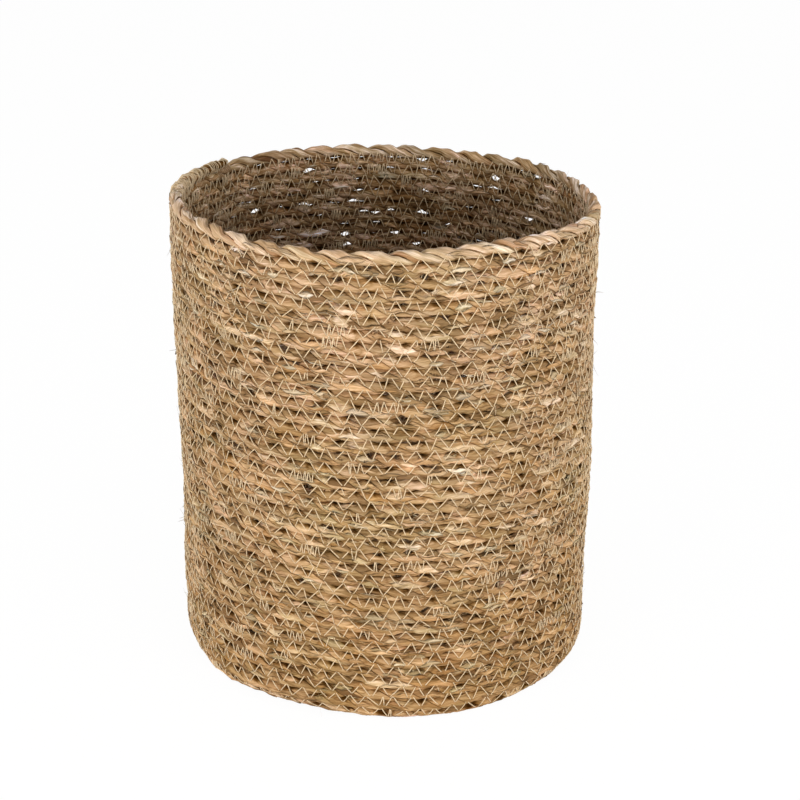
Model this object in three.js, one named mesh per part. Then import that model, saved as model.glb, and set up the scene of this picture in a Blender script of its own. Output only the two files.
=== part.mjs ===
// A straw basket: one long seagrass cord, coiled flat for the base, turned up at a rounded
// corner and wound on as an upright wall that ends in a thicker rim. Neighbouring turns lie
// against each other and are sewn with a zigzag thread, outside and inside. The basket is open
// at the top. The origin is the middle of the face it stands on, +Z is up, and the cord's end
// lies at the back left. Lengths are in millimetres and angles in radians.
import * as THREE from "three";

// Driving dimensions of the basket.
const overallHeight = 272; // floor to the top of the rim, where the rim is highest
const outerDiameter = 240; // across the rim
const cornerRadius = 12; // bend of the cord's centre line between base and wall
const turnPitch = 6.9; // from one turn to the next
const turnGap = 0.45; // clear space between two turns
const cordThickness = 6.9; // of the base and wall cord, through the wall
const rimCordThickness = 8.2; // of the rim's cord, through the wall
const rimCordHeight = 8.2; // of the rim's cord, upright
const startRadius = 3.8; // of the cord's centre line where the base coil starts
const tailLength = 48; // of the flattened end of the rim's cord
const tailEndHeight = 4.4; // of the flattened end, upright
const tailEndThickness = 5.6; // of the flattened end, through the wall
const pieceGap = 0.3; // between the ends of two stretches of the cord
const threadDiameter = 0.75; // of the sewing thread
const threadGap = 0.4; // between the thread and the cord that it lies on
const seamStitch = 10.5; // one whole zigzag of the rim's seam, along the seam
const seamReachUp = 1.9; // of the seam's stitches above the joint between two turns
const seamReachDown = 2.5; // of the seam's stitches below that joint
const tailStitch = 4.6; // one whole zigzag over the flattened end
const tailReachUp = 2.4; // of the stitches over the flattened end, above its joint
const tailStitchWidth = 1.3; // of the short run of thread at each end of a tail stitch

// Shares and counts.
const stepsPerTurn = 20;
const baseCutShare = 0.1; // of the cord, cut off flat where the basket stands on it
const baseTopShare = 0.36; // of the base cord's width, its narrow upper side
const tailEndTurnShare = 0.4; // of a turn, anticlockwise from +X, where the cord ends
const rimShoulderShare = 0.5; // of the rim cord's half height, where its sides are upright
const lowerWallShare = 0.5; // of the wall's turns, in the lower stretch

// Sizes worked out from the driving dimensions.
const cordWidth = turnPitch - turnGap;
const wallRadius = (outerDiameter - rimCordThickness) / 2;
const flatRadius = wallRadius - cornerRadius;
const baseCentreHeight = cordThickness * (1 / 2 - baseCutShare);
const bendLength = (cornerRadius * Math.PI) / 2;
const fullTurn = 2 * Math.PI;
const tailTurns = tailLength / (fullTurn * wallRadius);
const threadLift = threadDiameter / 2 + threadGap;

// Turns are counted along the cord from the middle of the base. The rim is the last whole turn
// and lies on the turn before it, and the flattened tail lies on the rim's own start.
const rimJointHeight = overallHeight - rimCordHeight;
const topTurnHeight = rimJointHeight - turnGap - cordWidth / 2;
const alongAtTopTurn =
  flatRadius + bendLength + topTurnHeight - baseCentreHeight - cornerRadius;
const tailStart = alongAtTopTurn / turnPitch + 1;
const tailEnd = tailStart + tailTurns;
const tailSeamEnd = tailEnd - tailStitch / 2 / (fullTurn * wallRadius);
const rimStart = tailEnd - 1;
const cordStart = stationFrom(startRadius / turnPitch);
const cornerStart = stationFrom(flatRadius / turnPitch);
const wallStart = sideFrom((flatRadius + bendLength) / turnPitch);
const wallMiddle = stationFrom(wallStart + (rimStart - wallStart) * lowerWallShare);

const seagrass = new THREE.MeshStandardMaterial({ color: "#b48f5f", roughness: 0.9, metalness: 0 });
const seagrassBase = new THREE.MeshStandardMaterial({ color: "#a58457", roughness: 0.9, metalness: 0 });
const seagrassUpper = new THREE.MeshStandardMaterial({ color: "#bd9765", roughness: 0.9, metalness: 0 });
const seagrassRim = new THREE.MeshStandardMaterial({ color: "#a98252", roughness: 0.85, metalness: 0 });
const sewingThread = new THREE.MeshStandardMaterial({ color: "#e6cfa6", roughness: 0.7, metalness: 0 });

// The first station at or after a number of turns. Stations are counted back from the cord's end,
// so that those of neighbouring turns stand over each other.
function stationFrom(turns) {
  return tailEnd - Math.floor((tailEnd - turns) * stepsPerTurn) / stepsPerTurn;
}

// The first passage of the +X side at or after a number of turns. The corner's stretch ends there,
// on the upright wall whatever the bend, in line with the wall's stretch above it.
function sideFrom(turns) {
  const lastPassage = tailEnd + tailEndTurnShare;
  return lastPassage - Math.floor(lastPassage - turns);
}

// The centre line of base, corner and wall in an upright half plane, at a distance along it from
// the middle of the base. The lean is 0 on the flat base and a quarter turn on the wall.
function profileAt(along) {
  const bend = Math.min(Math.max((along - flatRadius) / cornerRadius, 0), Math.PI / 2);
  const rise = Math.max(along - flatRadius - bendLength, 0);
  return {
    radius: Math.min(along, flatRadius) + cornerRadius * Math.sin(bend),
    height: baseCentreHeight + cornerRadius * (1 - Math.cos(bend)) + rise,
    lean: bend,
  };
}

// The azimuth after a number of turns. The cord runs clockwise, seen from above, as it climbs.
function azimuthAt(turns) {
  return fullTurn * (tailEndTurnShare + tailEnd - turns);
}

// A point of space from a radius, an azimuth and a height.
function around(radius, azimuth, height) {
  return new THREE.Vector3(radius * Math.cos(azimuth), radius * Math.sin(azimuth), height);
}

// A point after a number of turns, on the flat facet between the two stations around it.
function onFacet(radius, turns, height) {
  const step = (turns - tailEnd) * stepsPerTurn;
  const before = tailEnd + Math.floor(step) / stepsPerTurn;
  const start = around(radius, azimuthAt(before), height);
  const finish = around(radius, azimuthAt(before + 1 / stepsPerTurn), height);
  return start.lerp(finish, step - Math.floor(step));
}

// The corners of the cord's section after a number of turns. A corner is given as its place
// towards the next turn and its place out of the basket.
function cordRing(turns, corners) {
  const { radius, height, lean } = profileAt(turns * turnPitch);
  return corners.map(([next, out]) =>
    around(
      radius + next * Math.cos(lean) + out * Math.sin(lean),
      azimuthAt(turns),
      Math.max(height + next * Math.sin(lean) - out * Math.cos(lean), 0),
    ),
  );
}

// The base cord: flat where the basket stands on it, and narrow on its upper side.
const baseSection = [
  [-cordWidth / 2, baseCentreHeight],
  [cordWidth / 2, baseCentreHeight],
  [(cordWidth / 2) * baseTopShare, -cordThickness / 2],
  [(-cordWidth / 2) * baseTopShare, -cordThickness / 2],
];

// The wall cord: a ridge outside, a ridge inside, and an edge towards each neighbour.
const wallSection = [
  [-cordWidth / 2, 0],
  [0, cordThickness / 2],
  [cordWidth / 2, 0],
  [0, -cordThickness / 2],
];

// The height of the joint under the rim's cord after a number of turns.
function rimJointAt(turns) {
  return rimJointHeight + (turns - tailStart) * turnPitch;
}

// How far the rim's cord has flattened after a number of turns, from 0 to 1.
function flattenedAt(turns) {
  return Math.max((turns - tailStart) / tailTurns, 0);
}

// The height and the thickness of the rim's cord after a number of turns.
function rimSizeAt(turns) {
  const flattened = flattenedAt(turns);
  return {
    high: THREE.MathUtils.lerp(rimCordHeight, tailEndHeight, flattened),
    thick: THREE.MathUtils.lerp(rimCordThickness, tailEndThickness, flattened),
  };
}

// The six corners of the rim's cord after a number of turns.
function rimRing(turns) {
  const { high, thick } = rimSizeAt(turns);
  const centre = rimJointAt(turns) + high / 2;
  const shoulder = (high / 2) * rimShoulderShare;
  return [
    [0, -high / 2],
    [thick / 2, -shoulder],
    [thick / 2, shoulder],
    [0, high / 2],
    [-thick / 2, shoulder],
    [-thick / 2, -shoulder],
  ].map(([out, up]) => onFacet(wallRadius + out, turns, centre + up));
}

// The turns at which a stretch of the cord has its rings: at its two ends, drawn back by half
// the gap between pieces, and at each step that is counted from the cord's end.
function stationsBetween(from, to) {
  const drawnBack = (turns) =>
    pieceGap / 2 / (fullTurn * profileAt(turns * turnPitch).radius);
  const stations = [from + drawnBack(from)];
  const first = Math.floor((from - tailEnd) * stepsPerTurn) + 1;
  const last = Math.ceil((to - tailEnd) * stepsPerTurn) - 1;
  for (let step = first; step <= last; step += 1) {
    const turns = tailEnd + step / stepsPerTurn;
    if (turns - from > 2 * drawnBack(from) && to - turns > 2 * drawnBack(to)) {
      stations.push(turns);
    }
  }
  stations.push(to - drawnBack(to));
  return stations;
}

// One closed tube through rings of corners, with a flat cap at each end.
function tubeThrough(rings) {
  const sides = rings[0].length;
  const corners = rings.flat().flatMap((corner) => corner.toArray());
  const faces = [];
  for (let ring = 0; ring + 1 < rings.length; ring += 1) {
    for (let side = 0; side < sides; side += 1) {
      const a = ring * sides + side;
      const b = ring * sides + ((side + 1) % sides);
      faces.push(a, b, a + sides, b, b + sides, a + sides);
    }
  }
  const end = (rings.length - 1) * sides;
  for (let side = 1; side + 1 < sides; side += 1) {
    faces.push(0, side + 1, side);
    faces.push(end, end + side, end + side + 1);
  }
  const geometry = new THREE.BufferGeometry();
  geometry.setAttribute("position", new THREE.Float32BufferAttribute(corners, 3));
  geometry.setIndex(faces);
  geometry.computeVertexNormals();
  return geometry;
}

// The least gap between a coil and itself, from the corners and the edge middles of its rings and
// of the lines between them to those of the rings half a turn to one and a half turns further on.
function leastGap(rings) {
  const points = rings.map((ring, index) => {
    const next = rings[Math.min(index + 1, rings.length - 1)];
    return ring.flatMap((corner, side) => {
      const edge = corner.clone().lerp(ring[(side + 1) % ring.length], 1 / 2);
      return [corner, edge, corner.clone().lerp(next[side], 1 / 2)];
    });
  });
  let least = Infinity;
  points.forEach((ring, index) => {
    const others = points.slice(index + stepsPerTurn / 2, index + (stepsPerTurn * 3) / 2);
    for (const other of others.flat()) {
      for (const point of ring) {
        least = Math.min(least, point.distanceTo(other));
      }
    }
  });
  return least;
}

// The points of a zigzag seam on one face of the wall, which is 1 outside and -1 inside. Each
// stitch end lies on the cord's facet, and a width spreads it into a short run of thread.
function zigzagPoints(face, from, to, stitch, reachUp, reachDown, width) {
  const turnLength = fullTurn * wallRadius;
  const halfStitches = Math.round(((to - from) * turnLength * 2) / stitch);
  const points = [];
  for (let index = 0; index <= halfStitches; index += 1) {
    const middle = THREE.MathUtils.lerp(from, to, index / halfStitches);
    const spreads = width > 0 && index > 0 && index < halfStitches ? [-width / 2, width / 2] : [0];
    for (const spread of spreads) {
      const turns = middle + spread / turnLength;
      const seat = index % 2 === 0 ? upperSeat(turns, reachUp) : lowerSeat(reachDown);
      points.push(seamPoint(face, turns, seat));
    }
  }
  return points;
}

// The seat of a thread on the rim's cord: out of the wall's middle, and above the joint.
function upperSeat(turns, reach) {
  const { high, thick } = rimSizeAt(turns);
  const shoulder = (high / 2) * (1 - rimShoulderShare);
  const slope = Math.atan2(thick / 2, shoulder);
  if (reach > shoulder) {
    return [thick / 2 + threadLift, reach];
  }
  return [
    (thick / 2) * (reach / shoulder) + threadLift * Math.cos(slope),
    reach - threadLift * Math.sin(slope),
  ];
}

// The seat of a thread on the wall's turn under the rim, in the same two lengths.
function lowerSeat(reach) {
  const slope = Math.atan2(cordThickness, cordWidth);
  const fall = reach - turnGap;
  return [
    cordThickness * (fall / cordWidth) + threadLift * Math.cos(slope),
    -reach + threadLift * Math.sin(slope),
  ];
}

// A seat of the seam at a number of turns.
function seamPoint(face, turns, [out, up]) {
  return onFacet(wallRadius + face * out, turns, rimJointAt(turns) + up);
}

// The four corners of a thread at each of its points, in the plane that halves its bend.
function threadRings(points, face) {
  return points.map((point, index) => {
    const before = points[Math.max(index - 1, 0)];
    const after = points[Math.min(index + 1, points.length - 1)];
    const out = new THREE.Vector3(point.x, point.y, 0).normalize().multiplyScalar(face);
    const along = after.clone().sub(before).normalize();
    const across = new THREE.Vector3().crossVectors(out, along).normalize();
    const square = new THREE.Vector3().crossVectors(along, across).normalize();
    const arriving = index > 0 ? point.clone().sub(before).normalize() : along;
    const stretch = 1 / Math.max(arriving.dot(along), threadDiameter / seamStitch);
    const half = threadDiameter / 2;
    return [
      point.clone().addScaledVector(across, half * stretch),
      point.clone().addScaledVector(square, half),
      point.clone().addScaledVector(across, -half * stretch),
      point.clone().addScaledVector(square, -half),
    ];
  });
}

// A named piece of the basket.
function piece(name, geometry, material) {
  const mesh = new THREE.Mesh(geometry, material);
  mesh.name = name;
  return mesh;
}

// A stretch of base or wall cord, whose least gap to itself is printed.
function coil(name, from, to, section, material) {
  const rings = stationsBetween(from, to).map((turns) => cordRing(turns, section));
  console.log(`${name}: least gap to itself ${leastGap(rings).toFixed(3)} mm`);
  return piece(name, tubeThrough(rings), material);
}

// The last turn of the cord with its flattened end.
function rimRope() {
  const stations = [...stationsBetween(rimStart, tailEnd), tailStart].sort((a, b) => a - b);
  const rings = stations.map(rimRing);
  console.log(`rim_rope: least gap to itself ${leastGap(rings).toFixed(3)} mm`);
  return piece("rim_rope", tubeThrough(rings), seagrassRim);
}

// A zigzag thread on one face of the wall.
function thread(name, face, from, to, stitch, reachUp, width) {
  const points = zigzagPoints(face, from, to, stitch, reachUp, seamReachDown, width);
  const rings = threadRings(points, face);
  return piece(name, tubeThrough(rings), sewingThread);
}

const basket = new THREE.Group();
basket.add(coil("base_coil", cordStart, cornerStart, baseSection, seagrassBase));
basket.add(coil("corner_coil", cornerStart, wallStart, wallSection, seagrassBase));
basket.add(coil("wall_coil_lower", wallStart, wallMiddle, wallSection, seagrass));
basket.add(coil("wall_coil_upper", wallMiddle, rimStart, wallSection, seagrassUpper));
basket.add(rimRope());
for (const [kind, face] of [["needle", 1], ["bobbin", -1]]) {
  basket.add(
    thread(`rim_${kind}_thread`, face, rimStart, tailStart, seamStitch, seamReachUp, 0),
    thread(`tail_${kind}_thread`, face, tailStart, tailSeamEnd, tailStitch, tailReachUp, tailStitchWidth),
  );
}

export default basket;
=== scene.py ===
"""Looks of the straw basket: two-ply seagrass cord, zigzag threads, loose fibres and the studio.

Lengths are in metres. Along the cord, a place is given by the number of turns from the middle of
the base, as in the part's source. "Out" points out of the basket and "across" to the next turn.
"""

import logging
import math
from dataclasses import dataclass
from enum import Enum
from functools import reduce
from typing import Callable

import bmesh
import bpy
import numpy as np
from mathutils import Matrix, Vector


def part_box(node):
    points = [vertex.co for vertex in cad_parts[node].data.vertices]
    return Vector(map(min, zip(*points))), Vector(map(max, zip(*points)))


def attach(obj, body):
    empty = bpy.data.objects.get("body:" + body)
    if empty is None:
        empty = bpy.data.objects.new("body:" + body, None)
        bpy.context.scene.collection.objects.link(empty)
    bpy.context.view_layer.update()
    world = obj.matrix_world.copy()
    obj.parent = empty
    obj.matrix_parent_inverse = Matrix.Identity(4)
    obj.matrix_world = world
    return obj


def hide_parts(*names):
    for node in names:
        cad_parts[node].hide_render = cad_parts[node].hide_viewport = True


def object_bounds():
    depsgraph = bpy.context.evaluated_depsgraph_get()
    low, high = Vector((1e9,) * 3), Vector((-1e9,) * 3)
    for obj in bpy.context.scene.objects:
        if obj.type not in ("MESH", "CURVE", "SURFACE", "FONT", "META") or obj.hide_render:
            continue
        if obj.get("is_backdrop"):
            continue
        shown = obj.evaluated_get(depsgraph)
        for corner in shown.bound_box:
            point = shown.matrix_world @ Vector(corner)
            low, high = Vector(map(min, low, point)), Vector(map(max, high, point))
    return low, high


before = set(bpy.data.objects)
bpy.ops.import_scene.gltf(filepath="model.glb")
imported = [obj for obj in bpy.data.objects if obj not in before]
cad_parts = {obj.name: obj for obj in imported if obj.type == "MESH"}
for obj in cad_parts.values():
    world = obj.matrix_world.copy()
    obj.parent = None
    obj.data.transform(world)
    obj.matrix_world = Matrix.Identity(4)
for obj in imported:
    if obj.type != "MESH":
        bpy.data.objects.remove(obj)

LOG = logging.getLogger("basket")
MM = 0.001
FULL_TURN = 2 * math.pi
UP = np.array([0.0, 0.0, 1.0])
WHITE = (1, 1, 1, 1)
TUBE_SPACING = 4
FLOOR_CLEAR = 0.1 * MM
Array = np.ndarray
Colour = tuple[float, float, float, float]
Stops = tuple[tuple[float, Colour], ...]
Material = bpy.types.Material
Mesh = bpy.types.Mesh
Outputs = bpy.types.bpy_prop_collection
Piece = bpy.types.Object
Socket = bpy.types.NodeSocket

# How many millimetres the rim rises at azimuths in degrees.
RIM_HEIGHTS = {
    5: -2.6, 28: -1.0, 45: -0.2, 63: 0.0, 90: 2.7, 104: 2.9, 117: 2.6, 128: 3.5, 134: 2.9,
    140: 3.8, 143: 3.3, 147: 1.4, 170: 0.3, 197: -0.5, 207: -1.5, 233: -1.8, 252: -2.0,
    271: -1.7, 286: -0.9, 303: -0.2, 312: -0.6, 327: -1.6, 344: -4.0,
}
# The corner's radius in millimetres at azimuths in degrees.
CORNER_RADII = {
    0: 10, 90: 11, 180: 9, 205: 7, 220: 8, 232: 12, 246: 12, 258: 9, 270: 6.5, 285: 5.5,
    300: 4.5, 322: 4, 338: 5, 350: 8,
}


class Ply(Enum):
    """One of the two plies that are twisted into the cord."""

    FIRST = 0
    SECOND = 1


class Face(Enum):
    """A face of the basket's wall, as a sign along the way out."""

    OUTSIDE = 1
    INSIDE = -1


def tint(red: int, green: int, blue: int) -> Colour:
    """A colour as a paint chart gives it, from 0 to 255, in the renderer's linear light.

    Args:
        red: Its red.
        green: Its green.
        blue: Its blue.

    Returns:
        The same colour for a material, with an alpha of 1.
    """
    shares = [value / 255 for value in (red, green, blue)]
    linear = [s / 12.92 if s <= 0.04045 else ((s + 0.055) / 1.055) ** 2.4 for s in shares]
    return (linear[0], linear[1], linear[2], 1.0)


def shades(table: dict[float, tuple[int, int, int]]) -> Stops:
    """A ramp's stops, from a table of places and colours from 0 to 255."""
    return tuple((place, tint(*colour)) for place, colour in table.items())


def eased(value: Array, start: float, end: float) -> Array:
    """0 before start, 1 after end, and smooth between them."""
    share = np.clip((value - start) / (end - start), 0, 1)
    return share * share * (3 - 2 * share)


def around(table: dict[float, float], azimuth: Array) -> Array:
    """Values at each azimuth, from a table of degrees and millimetres.

    Args:
        table: Millimetres at azimuths in degrees.
        azimuth: Angles round the basket's axis.

    Returns:
        The values there, in metres.
    """
    places = np.radians(list(table))
    values = np.array(list(table.values())) * MM
    return np.interp(np.mod(azimuth, FULL_TURN), places, values, period=FULL_TURN)


def rays(azimuth: Array) -> Array:
    """The level way at each azimuth."""
    return np.stack([np.cos(azimuth), np.sin(azimuth), np.zeros_like(azimuth)], -1)


def shifted(points: Array, first: Array, far: Array, second: Array, wide: Array) -> Array:
    """Points moved by distances along a first and a second way."""
    return points + first * far[..., None] + second * wide[..., None]


@dataclass(frozen=True)
class Waver:
    """A seeded wander of about unit size along a length."""

    seed: int
    wavelength: float
    waves: int = 9

    def at(self, length: Array) -> Array:
        """The wander at each length.

        Args:
            length: Lengths along the cord.

        Returns:
            A value of about unit size for each.
        """
        chance = np.random.default_rng(self.seed)
        rates = FULL_TURN / (self.wavelength * chance.uniform(0.6, 2.0, self.waves))
        starts = chance.uniform(0, FULL_TURN, self.waves)
        total = sum(np.cos(rate * length + start) for rate, start in zip(rates, starts))
        return total / math.sqrt(self.waves / 2)


@dataclass(frozen=True)
class Undulation:
    """A seeded unevenness of about unit size over the basket's surface."""

    seed: int
    most_around: int
    wavelength: float
    waves: int = 12

    def at(self, azimuth: Array, along: Array) -> Array:
        """The unevenness at each azimuth and distance from the middle of the base.

        Args:
            azimuth: Angles round the basket's axis.
            along: Distances from the middle of the base.

        Returns:
            A value of about unit size for each.
        """
        chance = np.random.default_rng(self.seed)
        total = np.zeros(np.broadcast(azimuth, along).shape)
        for _ in range(self.waves):
            crests = chance.integers(1, self.most_around + 1)
            rise = chance.normal() * FULL_TURN / self.wavelength
            total += np.cos(crests * azimuth + rise * along + chance.uniform(0, FULL_TURN))
        return total / math.sqrt(self.waves / 2)


@dataclass
class CordRoute:
    """The way of the cord's middle from the centre of the base to its end at the rim."""

    height: float
    diameter: float
    pitch: float = 6.9 * MM
    corner_radius: float = 12 * MM
    cord_width: float = 6.45 * MM
    cord_thick: float = 6.9 * MM
    turn_gap: float = 0.45 * MM
    rim_high: float = 8.2 * MM
    rim_thick: float = 8.2 * MM
    rope_high: float = 7.3 * MM
    rope_thick: float = 6.5 * MM
    rim_rise: float = 1.2 * MM
    tail_length: float = 48 * MM
    tail_end_high: float = 5.2 * MM
    tail_end_thick: float = 6.4 * MM
    start_radius: float = 3.8 * MM
    curl_radius: float = 0.5 * MM
    base_cut_share: float = 0.1
    end_turn_share: float = 0.4
    stations_per_turn: int = 20
    bulge: float = 0.55 * MM
    sway: float = 0.45 * MM
    rise_from: float = 20 * MM
    stray: float = 0.24 * MM
    flat_stray: float = 0.4
    wander: float = 0.12 * MM
    rim_sink: float = 0.2 * MM
    swell: tuple[float, float] = (0.014, 0.001)
    table_size: int = 40000

    def __post_init__(self) -> None:
        """Works out where each stretch of the cord starts, as the part's source does."""
        self.wall_radius = (self.diameter - self.rim_thick) / 2
        self.flat_radius = self.wall_radius - self.corner_radius
        self.bend_length = self.corner_radius * math.pi / 2
        self.base_height = self.cord_thick * (1 / 2 - self.base_cut_share)
        self.rim_joint = self.height - self.rim_high
        top_turn = self.rim_joint - self.turn_gap - self.cord_width / 2
        top_along = (
            self.flat_radius + self.bend_length + top_turn - self.base_height - self.corner_radius
        )
        self.tail_start = top_along / self.pitch + 1
        self.tail_turns = self.tail_length / (FULL_TURN * self.wall_radius)
        self.tail_end = self.tail_start + self.tail_turns
        self.rim_start = self.tail_end - 1
        self.cord_start = self.station_from(self.start_radius / self.pitch)
        self.curl_start = self.curl_radius / self.pitch
        self.corner_start = self.station_from(self.flat_radius / self.pitch)
        last_passage = self.tail_end + self.end_turn_share
        upright = (self.flat_radius + self.bend_length) / self.pitch
        self.wall_start = last_passage - math.floor(last_passage - upright)
        self.wall_middle = self.station_from((self.wall_start + self.rim_start) / 2)
        self.table = np.linspace(0, self.tail_end + 1, self.table_size)
        radius = self.profile(self.table * self.pitch, self.corner_radius)[0]
        steps = np.hypot(FULL_TURN * radius, self.pitch) * (self.table[1] - self.table[0])
        self.lengths = np.concatenate([[0], np.cumsum((steps[1:] + steps[:-1]) / 2)])

    def station_from(self, turns: float) -> float:
        """The first place at or after a number of turns where the source has a ring."""
        steps = math.floor((self.tail_end - turns) * self.stations_per_turn)
        return self.tail_end - steps / self.stations_per_turn

    def length_at(self, turns: Array) -> Array:
        """The cord's length up to each number of turns."""
        return np.interp(turns, self.table, self.lengths)

    def span(self, start: float, end: float) -> Array:
        """The cord's lengths up to two numbers of turns."""
        return self.length_at(np.array([start, end]))

    def turns_at(self, length: Array) -> Array:
        """The number of turns at each length of the cord."""
        return np.interp(length, self.lengths, self.table)

    def azimuth_at(self, turns: Array) -> Array:
        """The azimuth at each number of turns. The cord runs clockwise, seen from above."""
        return FULL_TURN * (self.end_turn_share + self.tail_end - turns)

    def profile(self, along: Array, corner: float | Array) -> tuple[Array, Array, Array]:
        """The surface through the middles of the turns, as it is cut from the middle to the rim.

        Args:
            along: Distances from the middle of the base over the corner and up the wall.
            corner: Radius of the corner.

        Returns:
            Its radius, height and lean.
        """
        level = along - (self.flat_radius + self.bend_length - self.corner_radius)
        lean = np.clip(math.pi / 2 - (corner - level) / corner, 0, math.pi / 2)
        flat = self.wall_radius - corner
        full = along - level + corner * (1 - math.pi / 2)
        radius = np.where(lean > 0, flat + corner * np.sin(lean), flat * np.minimum(along / full, 1))
        height = corner * (1 - np.cos(lean)) + np.maximum(level - corner, 0)
        return radius, self.base_height + height, lean

    def place(self, azimuth: Array, along: Array) -> tuple[Array, Array, Array]:
        """A place on the surface through the middles of the turns.

        Args:
            azimuth: Angles round the basket's axis.
            along: Distances from the middle of the base over the corner and up the wall.

        Returns:
            The points, the way across to the next turn and the way out of the basket.
        """
        radius, height, lean = self.profile(along, around(CORNER_RADII, azimuth))
        upright = np.sin(lean)
        radius = radius + upright * self.bulge * Undulation(11, 7, 0.12).at(azimuth, along)
        sway = self.sway * Undulation(12, 6, 0.16).at(azimuth, along)
        rise = around(RIM_HEIGHTS, azimuth) + self.rim_rise
        sway = sway + rise * eased(height, self.rise_from, self.height)
        height = height + upright * sway
        ray, flat, steep = rays(azimuth), np.cos(lean)[..., None], upright[..., None]
        points = radius[..., None] * ray + height[..., None] * UP
        return points, flat * ray + steep * UP, steep * ray - flat * UP

    def flattened(self, turns: Array) -> Array:
        """How far the cord's end has flattened at each number of turns, from 0 to 1."""
        return np.clip((turns - self.tail_start) / self.tail_turns, 0, 1)

    def middle(self, turns: Array) -> tuple[Array, Array, Array]:
        """The cord's middle at each number of turns, with the ways across and out.

        Args:
            turns: Places along the cord, in turns.

        Returns:
            The points, the way across to the next turn and the way out of the basket.
        """
        length = self.length_at(turns)
        lift = self.rim_share(turns) * ((self.rope_high - self.cord_width) / 2 - self.rim_sink)
        lost = self.flattened(turns) * self.rope_high * (1 - self.tail_end_high / self.rim_high)
        lift = lift - lost / 2
        points, across, out = self.place(self.azimuth_at(turns), turns * self.pitch + lift)
        upright = np.abs(out[..., :2]).sum(-1) > 0.5
        stray = self.stray * Waver(21, 0.07).at(length) * np.where(upright, 1, self.flat_stray)
        wander = self.wander * Waver(22, 0.05).at(length)
        return shifted(points, out, stray, across, wander), across, out

    def rim_share(self, turns: Array) -> Array:
        """0 on the wall and 1 on the thicker rim, with the cord swelling between them."""
        before, after = self.swell
        return eased(turns, self.rim_start - before, self.rim_start - after)


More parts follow.
